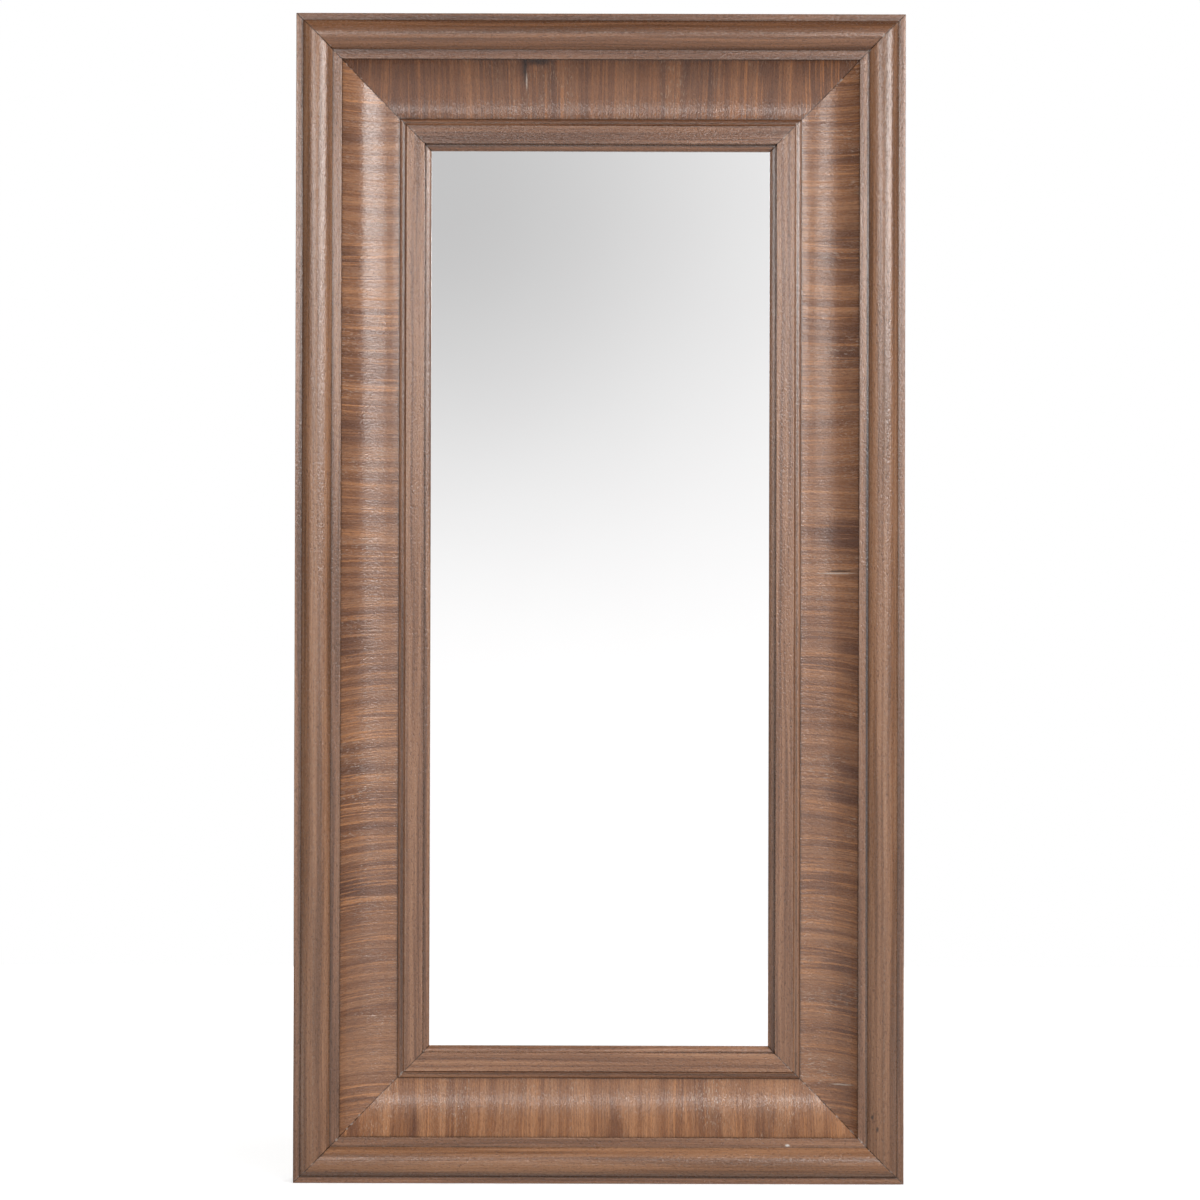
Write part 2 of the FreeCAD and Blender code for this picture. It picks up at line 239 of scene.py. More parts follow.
birch = ((0.66, 0.51, 0.34, 1), (0.58, 0.43, 0.27, 1), (0.45, 0.31, 0.18, 1))
dress_four("birch_plywood", birch, "backing_rail", "backing_stile", band=0.03)


# Outer frame: four solid walnut members with a leg that reaches back to the wall and a flat front face.
# They are run to one section, mitred at the corners and eased along the arrises, then lacquered satin.

outer_low, outer_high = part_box("outer_frame_left")
outer_width = outer_high.x - outer_low.x
outer_depth = outer_high.y - outer_low.y
outer_leg = 0.034
bed_level = 0.028
outer_ease = 0.0015
outer_relief_depth = 0.00004
outer_relief_reach = 0.002
scoop_step = 0.004

# Each side: half its outer length, the middle of its outer edge, the way along it and the way inwards
half_width = (cad_box[1].x - cad_box[0].x) / 2
height = cad_box[1].z
SIDES = {
    "bottom": (half_width, (0, 0, 0), (1, 0, 0), (0, 0, 1)),
    "top": (half_width, (0, 0, height), (-1, 0, 0), (0, 0, -1)),
    "left": (height / 2, (-half_width, 0, height / 2), (0, 0, -1), (1, 0, 0)),
    "right": (height / 2, (half_width, 0, height / 2), (0, 0, 1), (-1, 0, 0)),
}
SIDE_NUMBERS = {side: number for number, side in enumerate(SIDES)}
BOTTOM, TOP, LEFT, RIGHT = SIDE_NUMBERS.values()
FORWARD = np.array((0, -1, 0))


def straight(start, end, spacing=0.0015):
    """Even points of a straight run of a section, without its last point."""
    count = max(2, math.ceil(math.dist(start, end) / spacing))
    return np.linspace(start, end, count, endpoint=False)


def rounded(centre, radius, from_turn, to_turn, count=7):
    """Points of an arc of a section: the centre plus radius times the cosine and sine of an even turn."""
    turn = np.radians(np.linspace(from_turn, to_turn, count))
    return np.array(centre) + radius * np.column_stack((np.cos(turn), np.sin(turn)))


def gathered(points, spots, reach):
    """How near section points are to the nearest of some spots: 1 on a spot, dying out over a reach."""
    gaps = np.linalg.norm(points[..., None, :] - np.array(spots), axis=-1)
    return np.exp(-gaps / reach).max(axis=-1)


def carried(side, profile, relief, ease, low=-np.inf, high=np.inf, rows=60):
    """A closed section carried along one side, from mitre to mitre or between two cuts across it.

    A point keeps its inset and level, moved outwards by the relief, and sinks by the ease at each end. Its
    place along the side is held between the two cuts and the mitre lines, which are half the length less
    the inset. Rows lie at even shares of the way, after a few close to each end.
    """
    close_rows = np.array((0, 0.0004, 0.0009, 0.002, 0.005))
    closest_share = 0.45
    ease_reach = 0.0006
    half, middle, along_way, inward_way = SIDES[side]
    ahead = np.roll(profile, -1, axis=0) - np.roll(profile, 1, axis=0)
    outward = np.column_stack((ahead[:, 1], -ahead[:, 0]))
    outward /= np.linalg.norm(outward, axis=1, keepdims=True)
    share = np.linspace(0, 1, rows + 2)[1:-1]
    start = np.maximum(low, profile[:, :1] - half)
    end = np.minimum(high, half - profile[:, :1])
    close = close_rows * np.minimum(1, closest_share * (end - start) / close_rows[-1])
    first, last = start + close[:, -1:], end - close[:, -1:]
    along = np.concatenate((start + close, first + share * (last - first), end - close[:, ::-1]), axis=1)
    sunk = ease * np.exp(-((np.minimum(along - start, end - along) / ease_reach) ** 2))
    shift = relief(along, *profile.T[..., None]) - sunk
    inset = profile[:, :1] + shift * outward[:, :1]
    level = profile[:, 1:] + shift * outward[:, 1:]
    spots = along[..., None] * np.array(along_way) + inset[..., None] * np.array(inward_way)
    spots = spots + level[..., None] * FORWARD + np.array(middle)
    return spots, along, inset, level


def loop_mesh(spots, first=0):
    """Faces of a closed section carried along a run: quads round it, and one face at each end."""
    around, rows = spots.shape[:2]
    index = first + np.arange(around * rows).reshape(around, rows)
    turned = np.roll(index, -1, axis=0)
    quads = np.stack((index[:, :-1], turned[:, :-1], turned[:, 1:], index[:, 1:]), axis=-1)
    return quads.reshape(-1, 4).tolist() + [index[::-1, 0].tolist(), index[:, -1].tolist()]


def made(name, points, faces, material, **marks):
    """A piece from its points and faces, with its material and the values that its finish reads."""
    sharpest_smooth = math.radians(28)
    mesh = bpy.data.meshes.new(name)
    mesh.from_pydata(np.asarray(points).reshape(-1, 3).tolist(), [], faces)
    for label, values in marks.items():
        values = np.asarray(values, np.float32)
        is_vector = values.ndim > 1 and values.shape[-1] == 3
        mark = mesh.attributes.new(label, "FLOAT_VECTOR" if is_vector else "FLOAT", "POINT")
        mark.data.foreach_set("vector" if is_vector else "value", values.ravel())
    mesh.shade_smooth()
    mesh.set_sharp_from_angle(angle=sharpest_smooth)
    mesh.materials.append(material)
    piece = bpy.data.objects.new(name, mesh)
    bpy.context.scene.collection.objects.link(piece)
    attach(piece, "frame")
    return piece


def build_joint_line():
    """A glued joint: a dark line on it, and pale filler left in patches beside it."""
    tree, given, put = effect("joint_line", {"Gap": 1.0, "Place": (0.0, 0.0, 0.0)}, ("Line", "Filler"))
    patches = mottle(tree, stretched(tree, given["Place"], 110, 110, 110), 3.0)
    line = remapped(tree, given["Gap"], 0.0006, 0.0018, 1.0, 0.0)
    beside = remapped(tree, given["Gap"], 0.0010, 0.0042, 1.0, 0.0)
    broken = calc(tree, "MULTIPLY", line, remapped(tree, patches, 0.45, 0.6, 1.0, 0.5))
    filler = calc(tree, "MULTIPLY", beside, remapped(tree, patches, 0.57, 0.67))
    tree.links.new(broken, put.inputs["Line"])
    tree.links.new(filler, put.inputs["Filler"])
    return tree


joint_line = build_joint_line()


def build_edge_wear_and_shade():
    """Wear and painted light: arrises paler in stretches, partly rubbed wear and partly painted highlight,
    and corners darker unevenly, partly glaze and partly painted shade.
    """
    tree, given, put = effect(
        "edge_wear_and_shade", {"Arris": 0.0, "Corner": 0.0, "Place": (0.0, 0.0, 0.0)}, ("Wear_and_highlight", "Glaze_and_shade")
    )
    patches = mottle(tree, stretched(tree, given["Place"], 14, 14, 14), 4.0)
    specks = mottle(tree, stretched(tree, given["Place"], 170, 170, 170), 2.0)
    # Painted highlight along the arrises, broken into specks like rubbed wear
    wear_and_highlight_mask = calc(tree, "MULTIPLY", given["Arris"], remapped(tree, specks, 0.45, 0.65, 0.15, 1.0))
    # Painted shade in the corners, in patches like settled glaze
    glaze_and_shade_mask = calc(tree, "MULTIPLY", given["Corner"], remapped(tree, patches, 0.3, 0.7, 1.0, 0.6))
    tree.links.new(wear_and_highlight_mask, put.inputs["Wear_and_highlight"])
    tree.links.new(glaze_and_shade_mask, put.inputs["Glaze_and_shade"])
    return tree


edge_wear_and_shade = build_edge_wear_and_shade()


def build_flaw_spot():
    """A flaw at one place on one side: 1 in its middle, with a ragged edge, and 0 past its reach."""
    tree, given, put = effect(
        "flaw_spot",
        {"Place": (0.0, 0.0, 0.0), "Centre": (0.0, 0.0, 0.0), "Reach": (0.01, 0.01, 0.5)},
        ("Mask",),
    )
    vector_step = "ShaderNodeVectorMath"
    away = wired(tree, vector_step, {0: given["Place"], 1: given["Centre"]}, operation="SUBTRACT")
    share = wired(tree, vector_step, {0: away.outputs[0], 1: given["Reach"]}, operation="DIVIDE")
    far = wired(tree, vector_step, {0: share.outputs[0]}, operation="LENGTH").outputs["Value"]
    rag = mottle(tree, stretched(tree, given["Place"], 420, 260, 1), 3.0)
    ragged_far = calc(tree, "MULTIPLY_ADD", rag, 0.7, far)
    tree.links.new(remapped(tree, ragged_far, 0.6, 1.3, 1.0, 0.0), put.inputs["Mask"])
    return tree


flaw_spot = build_flaw_spot()


def marked(tree, label, output="Fac"):
    """A value that the piece's own mesh carries."""
    return wired(tree, "ShaderNodeAttribute", {}, attribute_name=label).outputs[output]


def flaw_mask(tree, centre, reach):
    """Where a flaw lies, by its centre and by its reach along and across one side."""
    this_side_only = 0.5
    place = marked(tree, "side_place", "Vector")
    return placed(tree, flaw_spot, Place=place, Centre=centre, Reach=(*reach, this_side_only))["Mask"]


def worn_and_shaded_walnut(tree, colour, flaws):
    """Walnut in its board's own tone, with its joints, flaws, arrises paler for wear and painted highlight,
    and corners darker for glaze and painted shade.
    """
    place = own_place(tree)
    arris = marked(tree, "arris")
    edge = placed(tree, edge_wear_and_shade, Arris=arris, Corner=marked(tree, "corner"), Place=place)
    joint = placed(tree, joint_line, Gap=marked(tree, "joint_gap"), Place=place)
    glaze_and_shade_colour = (0.034, 0.017, 0.010, 1)
    wear_and_highlight_colour = (0.50, 0.36, 0.27, 1)
    filler = (0.64, 0.58, 0.53, 1)
    # Each side's tint: its boards' own tone together with painted light and shade
    colour = tinted(tree, 1.0, colour, marked(tree, "board_tint", "Vector"), "MULTIPLY")
    # Painted shade: dark glaze colour laid into the corners and quirks where shade falls
    colour = stained(tree, edge["Glaze_and_shade"], 0.85, colour, glaze_and_shade_colour)
    # Painted highlight: paler wood along the arrises, together with rubbed wear
    colour = stained(tree, edge["Wear_and_highlight"], 0.35, colour, wear_and_highlight_colour)
    colour = stained(tree, joint["Line"], 0.85, colour, glaze_and_shade_colour)
    colour = stained(tree, joint["Filler"], 0.45, colour, filler)
    for centre, reach, stain in flaws:
        colour = stained(tree, flaw_mask(tree, centre, reach), 0.85, colour, stain)
    return colour


def satin(tree, shader, grain, figure, dullest):
    """Satin lacquer over wood: gloss in streaks and specks along the grain, and the grain's fine relief."""
    glossiest = 0.18
    line_height = 0.4
    speck_height = 3.4
    relief_depth = 0.0002
    streak = mottle(tree, stretched(tree, grain, 30, 330, 330), 2.0)
    speck = mottle(tree, stretched(tree, grain, 190, 300, 300), 1.0)
    gloss = calc(tree, "MULTIPLY_ADD", streak, 0.6, calc(tree, "MULTIPLY", speck, 0.4))
    tree.links.new(remapped(tree, gloss, 0.4, 0.6, glossiest, dullest), shader["Roughness"])
    lines = calc(tree, "MULTIPLY", figure["Lines"], line_height)
    relief = calc(tree, "SUBTRACT", lines, figure["Pores"])
    raised(tree, shader, calc(tree, "MULTIPLY_ADD", speck, speck_height, relief), relief_depth)


def long_grain_walnut(name, dark, mid, light, band, flaws=()):
    """Lacquered walnut moulding: soft bands and fine lines along the stick, open pores, satin sheen."""
    material, tree, shader = finished(name, Specular_IOR_Level=0.5, Coat_Weight=0.3, Coat_Roughness=0.18)
    grain = marked(tree, "grain", "Vector")
    figure = placed(
        tree, wood_figure, Grain=grain, Band=band, Ring=0.0042, Line=0.0018, Pore=0.0018, Wander=0.012
    )
    ground = toned(tree, figure["Bands"], light, mid, dark)
    ringed = stained(tree, figure["Rings"], 0.4, ground, dark)
    lined = stained(tree, figure["Lines"], 0.25, ringed, dark)
    pored = stained(tree, figure["Pores"], 0.45, lined, dark, "MULTIPLY")
    tree.links.new(worn_and_shaded_walnut(tree, pored, flaws), shader["Base Color"])
    satin(tree, shader, grain, figure, 0.30)
    return material


def hand_work(seed, depth, share):
    """Relief left by scraping and sanding: the sum of three slow sine waves, all below the true section.

    Two of them slant across the stick and one runs straight along it. The share of the depth at a point of
    the section keeps the edges that meet other pieces true.
    """
    phase = np.random.default_rng(seed).uniform(0, 2 * math.pi, 3)

    def relief(along, inset, level):
        slanted = np.sin(along * 23 + inset * 35 + phase[0])
        crossing = 0.7 * np.sin(along * 41 - inset * 60 + phase[1])
        straight_on = 0.5 * np.sin(along * 9 + phase[2])
        highest = 2.2
        return depth * share(inset, level) * (slanted + crossing + straight_on - highest)

    return relief


# Tint of each side's boards and leaves, partly their own tone and partly painted light and shade: the top
# ones are darker and redder, the bottom ones paler
BOARD_AND_LIGHT_TINTS = {
    "bottom": (1.33, 1.30, 1.21),
    "top": (0.79, 0.69, 0.58),
    "left": (1.15, 1.14, 1.11),
    "right": (1.09, 1.08, 1.05),
}


def mitred_sticks(stick, node, first_seed, profile, relief, material, arrises, corners, corner_reach=0.003):
    """Four mitred sticks of one section in place of a node's sides, each cut from a board of its own.

    The relief is the depth of the hand work and its share at a point of the section. The grain runs along
    each stick.
    """
    mitre_ease = 0.0004
    arris_reach = 0.0012
    for seed, side in enumerate(SIDES, first_seed):
        spots, along, inset, level = carried(side, profile, hand_work(seed, *relief), mitre_ease)
        board = np.random.default_rng(seed).uniform(-2, 2, 3)
        half = SIDES[side][0]
        section_points = np.stack((inset, level), axis=-1)
        piece = made(
            stick + "_" + side,
            spots,
            loop_mesh(spots),
            material,
            grain=np.stack((along, inset, level), axis=-1) + board,
            side_place=np.stack((along, inset, np.full_like(inset, SIDE_NUMBERS[side])), axis=-1),
            board_tint=np.broadcast_to(BOARD_AND_LIGHT_TINTS[side], (along.size, 3)),
            joint_gap=half - inset - np.abs(along),
            # Arris: closeness to the arrises, where painted highlight and wear are laid
            arris=gathered(section_points, arrises, arris_reach),
            # Corner: closeness to the corners, where painted shade and glaze are laid
            corner=gathered(section_points, corners, corner_reach),
        )
        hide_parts(node + "_" + side)


outer_profile = np.concatenate((
    straight((0, 0), (outer_leg, 0), 0.004),
    straight((outer_leg, 0), (outer_leg, bed_level), 0.004),
    straight((outer_leg, bed_level), (outer_width, bed_level), 0.006),
    straight((outer_width, bed_level), (outer_width, outer_depth - outer_ease), 0.002),
    rounded((outer_width - outer_ease, outer_depth - outer_ease), outer_ease, 0, 90)[:-1],
    straight((outer_width - outer_ease, outer_depth), (outer_ease, outer_depth)),
    rounded((outer_ease, outer_depth - outer_ease), outer_ease, 90, 180)[:-1],
    straight((0, outer_depth - outer_ease), (0, 0), 0.003),
))
torus_low, torus_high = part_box("torus_moulding_left")
torus_outer = torus_low.x - outer_low.x
torus_inner = torus_high.x - outer_low.x
torus_level = -torus_low.y
torus_seams = [(torus_outer, outer_depth), (torus_inner, outer_depth)]
# Painted shadow: a near-black line on the flat beside the right torus's inner foot, for the shade in an open
# joint there
open_joint_shade = ((0.0, torus_inner + 0.0026, RIGHT), (1.6, 0.0026), (0.035, 0.030, 0.034, 1))
chip = ((0.339, torus_inner + 0.004, BOTTOM), (0.006, 0.003), (0.80, 0.77, 0.74, 1))
outer_walnut = long_grain_walnut(
    "outer_frame_walnut",
    dark=(0.130, 0.060, 0.033, 1),
    mid=(0.238, 0.116, 0.066, 1),
    light=(0.320, 0.168, 0.100, 1),
    band=0.009,
    flaws=(open_joint_shade, chip),
)
mitred_sticks(
    "outer_frame_stick",
    "outer_frame",
    first_seed=0,
    profile=outer_profile,
    relief=(outer_relief_depth, lambda inset, level: inset < outer_relief_reach),
    material=outer_walnut,
    # Paler along the front arrises: rubbed wear and painted highlight
    arrises=[(0, outer_depth), (outer_width, outer_depth)],
    # Painted shade at the torus feet and at the step down to the scoop
    corners=[*torus_seams, (outer_width, outer_depth - scoop_step)],
)


# Mitre tongues: loose slips of hard wood glued across the mitres, wholly inside the outer frame.
# Their grain runs across the joint so that they don't split along it.

beech = ((0.60, 0.40, 0.26, 1), (0.52, 0.33, 0.20, 1), (0.40, 0.24, 0.14, 1))
dress(bare_wood("tongue_beech", math.pi / 4, *beech, band=0.01), "mitre_splines")


# Torus moulding: a half-round walnut stick planted on the flat of the outer frame, mitred with it.
# It is steeper on its outer side, and its crest is painted paler, both for wear from handling and as a
# painted highlight.

torus_edge = 0.002
torus_outer_run = 0.024
torus_relief_depth = 0.00008
torus_true_rise = 0.006
torus_foot = outer_depth + torus_edge
torus_crest = (torus_outer + torus_outer_run, torus_level)


def level_arc(level_end, other_end, count=26):
    """Arc that leaves one end level and ends at the other, lower one.

    The radius times the sine of an even turn is added to the inset of the level end, and the radius times
    one less its cosine is taken off its level.
    """
    run = other_end[0] - level_end[0]
    drop = level_end[1] - other_end[1]
    radius = (run**2 + drop**2) / (2 * drop)
    turn = np.linspace(0, 2 * math.atan2(drop, abs(run)), count)
    across = level_end[0] + math.copysign(1, run) * radius * np.sin(turn)
    return np.column_stack((across, level_end[1] - radius * (1 - np.cos(turn))))


torus_profile = np.concatenate((
    straight((torus_outer, outer_depth), (torus_inner, outer_depth), 0.005),
    straight((torus_inner, outer_depth), (torus_inner, torus_foot), 0.0005),
    level_arc(torus_crest, (torus_inner, torus_foot))[:0:-1],
    level_arc(torus_crest, (torus_outer, torus_foot))[:-1],
    straight((torus_outer, torus_foot), (torus_outer, outer_depth), 0.0005),
))


def above_foot(inset, level):
    """Share of the hand work on the torus: none at its foot, and all of it from a set rise upwards."""
    return np.clip((level - torus_foot) / torus_true_rise, 0, 1)


knot_size = (0.007, 0.0035)
knot_dark = (0.030, 0.016, 0.010, 1)
knots = [
    ((-0.929, 0.057, RIGHT), knot_size, knot_dark),
    ((-0.950, 0.048, RIGHT), knot_size, knot_dark),
]
torus_walnut = long_grain_walnut(
    "torus_walnut",
    dark=(0.145, 0.066, 0.033, 1),
    mid=(0.250, 0.120, 0.063, 1),
    light=(0.335, 0.172, 0.096, 1),
    band=0.008,
    flaws=knots,
)
mitred_sticks(
    "torus_stick",
    "torus_moulding",
    first_seed=10,
    profile=torus_profile,
    relief=(torus_relief_depth, above_foot),
    material=torus_walnut,
    # Paler along the crest: handling wear and a painted highlight
    arrises=[torus_crest],
    # Painted shade at both feet
    corners=torus_seams,
)


# Scoop cores: pale softwood run to the hollow, glued to the sub-frame behind the veneer.
# They lie closed in between the veneer, the mouldings and the sub-frame.

pine = ((0.66, 0.50, 0.32, 1), (0.58, 0.41, 0.24, 1), (0.44, 0.28, 0.14, 1))
dress_four("core_pine", pine, "scoop_core", "scoop_core", band=0.012)


# Crossband veneer: walnut leaves laid side by side in the scoop with their grain across each side.
# They come from several flitches, so bands, streaks and tone change from leaf to leaf at tight joints.

veneer_low, veneer_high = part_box("crossband_veneer_left")
scoop_start = veneer_low.x - outer_low.x
scoop_end = veneer_high.x - outer_low.x
veneer_thickness = 0.0009
scoop_top_level = -veneer_low.y
scoop_drop = 0.046
scoop_rise_width = 0.012
scoop_bottom = scoop_end - scoop_rise_width
scoop_radius = ((scoop_bottom - scoop_start) ** 2 + scoop_drop**2) / (2 * scoop_drop)


def scoop_line(inset, below):
    """Level of the hollow, or of a surface below it: an arc about a centre over its lowest line."""
    centre = scoop_top_level - scoop_drop + scoop_radius
    return centre - np.sqrt((scoop_radius + below) ** 2 - (inset - scoop_bottom) ** 2)


def crossband_walnut(heart_clouds, flaws):
    """Veneer: soft bands across the side, dark heart clouds by its outer edge, tan lines, and pale pores,
    partly chalky filler and partly painted glints.
    """
    material, tree, shader = finished(
        "crossband_walnut", Specular_IOR_Level=0.5, Coat_Weight=0.3, Coat_Roughness=0.18
    )
    grain = marked(tree, "grain", "Vector")
    figure = placed(
        tree, wood_figure, Grain=grain, Band=0.014, Ring=0.0046, Line=0.0020, Pore=0.0016, Wander=0.008
    )
    broad_grain = stretched(tree, grain, 0.6, 1.2, 1.0)
    streaks = placed(tree, wood_figure, Grain=broad_grain, Band=0.034, Line=0.0060, Wander=0.012)
    pale = (0.370, 0.186, 0.100, 1)
    mid = (0.290, 0.137, 0.071, 1)
    deep = (0.190, 0.084, 0.044, 1)
    heart = (0.105, 0.048, 0.032, 1)
    tan = (0.49, 0.225, 0.100, 1)
    chalk_and_glint = (0.50, 0.40, 0.34, 1)
    leaf = calc(tree, "MULTIPLY", calc(tree, "SUBTRACT", marked(tree, "leaf_tone"), 0.5), 0.8)
    ground = toned(tree, calc(tree, "ADD", figure["Bands"], leaf), pale, mid, deep)
    cells = mottle(tree, stretched(tree, grain, 5, 16, 16), 3.0)
    outer_share = remapped(tree, marked(tree, "outward"), 0.0, 1.0, 0.64, 0.475)
    clouds = remapped(tree, calc(tree, "SUBTRACT", cells, outer_share), 0.0, 0.22, 0.0, 0.7)
    broad = remapped(tree, streaks["Bands"], 0.35, 1.0, 0.0, 0.2)
    clouded = tinted(tree, calc(tree, "MAXIMUM", clouds, broad), ground, heart)
    ragged = remapped(tree, mottle(tree, stretched(tree, grain, 9, 60, 60), 4.0), 0.35, 0.65, 0.35, 0.9)
    for centre, reach in heart_clouds:
        clouded = stained(tree, flaw_mask(tree, centre, reach), ragged, clouded, heart)
    tan_lines = remapped(tree, streaks["Lines"], 0.66, 0.95)
    tanned = stained(tree, tan_lines, marked(tree, "stripes"), clouded, tan)
    ringed = stained(tree, figure["Rings"], 0.46, tanned, heart)
    lined = stained(tree, figure["Lines"], 0.3, ringed, heart)
    open_pores = remapped(tree, mottle(tree, stretched(tree, grain, 9, 14, 14)), 0.5, 0.65, 0.05, 0.5)
    flecks = remapped(tree, mottle(tree, stretched(tree, grain, 110, 420, 420), 1.0), 0.5, 0.66, 0.0, 0.34)
    flecked = tinted(tree, flecks, lined, heart)
    # Pale pores: partly chalky filler, partly painted glints of the pores
    pored = stained(tree, figure["Pores"], open_pores, flecked, chalk_and_glint)
    tree.links.new(worn_and_shaded_walnut(tree, pored, flaws), shader["Base Color"])
    satin(tree, shader, grain, figure, 0.33)
    return material


# Dark heartwood of the leaves, each cloud by its middle and its reach along and across one side
heart_clouds = (
    ((0.620, 0.100, RIGHT), (0.090, 0.085)),
    ((0.450, 0.095, RIGHT), (0.060, 0.065)),
    ((0.110, 0.100, RIGHT), (0.060, 0.090)),
    ((-0.345, 0.095, RIGHT), (0.055, 0.070)),
    ((-0.300, 0.100, LEFT), (0.050, 0.055)),
    ((-0.600, 0.095, LEFT), (0.040, 0.050)),
    ((0.070, 0.095, LEFT), (0.065, 0.070)),
    ((0.300, 0.095, LEFT), (0.050, 0.060)),
    ((0.525, 0.095, LEFT), (0.045, 0.050)),
    ((0.185, 0.090, TOP), (0.050, 0.090)),
    ((0.100, 0.090, TOP), (0.030, 0.100)),
    ((-0.180, 0.090, TOP), (0.060, 0.090)),
    ((0.300, 0.110, BOTTOM), (0.040, 0.060)),
    ((-0.340, 0.100, BOTTOM), (0.030, 0.060)),
)

# Flaws of the leaves: a bark streak with a check beside it in the top side, two checks in the right one, the
# first with a painted shadow beside it
bark_and_shadow = (0.018, 0.012, 0.012, 1)
chalky = (0.48, 0.39, 0.33, 1)
leaf_flaws = (
    ((0.137, 0.084, TOP), (0.006, 0.060), bark_and_shadow),
    ((0.112, 0.084, TOP), (0.034, 0.012), bark_and_shadow),
    ((0.134, 0.118, TOP), (0.0022, 0.022), chalky),
    ((0.046, 0.120, RIGHT), (0.0022, 0.045), chalky),
    # Painted shadow beside the check above, in the same dark colour as bark
    ((0.050, 0.115, RIGHT), (0.0022, 0.036), bark_and_shadow),
    ((-0.874, 0.110, RIGHT), (0.0022, 0.028), chalky),
)
veneer_walnut = crossband_walnut(heart_clouds, leaf_flaws)

leaf_width = 0.108
leaf_points = 44
leaf_rows = 10
leaf_edge_spacing = 0.0003
leaf_tip_gap = 0.0004
leaf_ease = 0.00012
leaf_relief_depth = 0.00006
leaf_corner_reach = 0.002
leaf_edge_fade = 0.001
widest_slope = 0.006

# The grain of the upright leaves bows down, in full below one height over the frame's middle and not at all
# above another
deepest_bow = 0.010
full_bow_height = -0.16
no_bow_height = 0.24

# Lowest value and spread above it for each side's leaves: how deep their tone is, partly painted light and
# shade with the bottom leaves paler and the top ones deeper, and how tan their lines are
LEAF_TONES_AND_LIGHT = {"bottom": (0.0, 0.5), "top": (0.3, 0.7), "left": (0.1, 0.7), "right": (0.1, 0.7)}
LEAF_STRIPES = {"bottom": (0.2, 0.4), "top": (0.35, 0.55), "left": (0.3, 0.55), "right": (0.3, 0.55)}


def clear_of_edges(inset, level):
    """Share of the hand work on a leaf: all of it in the middle of the scoop, none at its two edges."""
    return np.clip((scoop_end - inset) * (inset - scoop_start) / leaf_edge_fade, 0, 1)


def leaf_section(tip):
    """Closed section of a leaf out to its tip: its glued face, inner edge, front face and outer edge."""
    reach = np.linspace(scoop_start, tip, leaf_points)
    back = np.column_stack((reach, scoop_line(reach, veneer_thickness)))
    front = np.column_stack((reach, scoop_line(reach, 0)))
    inner_edge = straight(back[-1], front[-1], leaf_edge_spacing)
    outer_edge = straight(front[0], back[0], leaf_edge_spacing)
    return np.concatenate((back[:-1], inner_edge, front[:0:-1], outer_edge))


scoop_ends = [(edge, scoop_line(edge, 0)) for edge in (scoop_start, scoop_end)]
for seed, side in enumerate(SIDES, 20):
    half, _, along_way, _ = SIDES[side]
    rising = along_way[2]
    veneer_length = 2 * (half - scoop_start)
    leaf_count = round(veneer_length / leaf_width)
    cuts = np.linspace(-veneer_length / 2, veneer_length / 2, leaf_count + 1)
    chance = np.random.default_rng(seed)
    leaf_relief = hand_work(seed, leaf_relief_depth, clear_of_edges)
    points, faces, leaf_marks = [], [], []
    for low, high in zip(cuts[:-1], cuts[1:]):
        tip = min(scoop_end, half + high - leaf_tip_gap, half - low - leaf_tip_gap)
        spots, along, inset, level = carried(
            side, leaf_section(tip), leaf_relief, leaf_ease, low, high, leaf_rows
        )
        faces += loop_mesh(spots, sum(map(len, points)))
        points.append(spots.reshape(-1, 3))
        board = chance.uniform(-2, 2, 3)
        slope = chance.uniform(-widest_slope, widest_slope)
        outward = (scoop_end - inset) / (scoop_end - scoop_start)
        leaf_height = rising * (low + high) / 2
        bow_share = np.clip((no_bow_height - leaf_height) / (no_bow_height - full_bow_height), 0, 1)
        bow = deepest_bow * rising * bow_share * outward**2 + slope * outward
        tone, stripe = (
            np.full_like(inset, lowest + spread * chance.uniform())
            for lowest, spread in (LEAF_TONES_AND_LIGHT[side], LEAF_STRIPES[side])
        )
        leaf_marks.append({
            "grain": np.stack((inset, along + bow, np.zeros_like(inset)), axis=-1) + board,
            "side_place": np.stack((along, inset, np.full_like(inset, SIDE_NUMBERS[side])), axis=-1),
            "board_tint": np.broadcast_to(BOARD_AND_LIGHT_TINTS[side], (*inset.shape, 3)),
            "outward": outward,
            "leaf_tone": tone,
            "stripes": stripe,
            "joint_gap": half - inset - np.abs(along),
            # Painted shade: dark lines at both edges of the scoop, by the step from the fillet and the bead
            "corner": gathered(np.stack((inset, level), axis=-1), scoop_ends, leaf_corner_reach),
            "arris": np.zeros_like(inset),
        })
    marks = {
        label: np.concatenate([leaf[label].reshape(-1, *leaf[label].shape[2:]) for leaf in leaf_marks])
        for label in leaf_marks[0]
    }
    veneer = made("crossband_leaves_" + side, np.concatenate(points), faces, veneer_walnut, **marks)
    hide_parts("crossband_veneer_" + side)


# Sight moulding: walnut stick with a small bead and cove beside the scoop, a flat, and a lower slip.
# The slip's lip stands over the edge of the glass, and the four sticks are mitred round it.

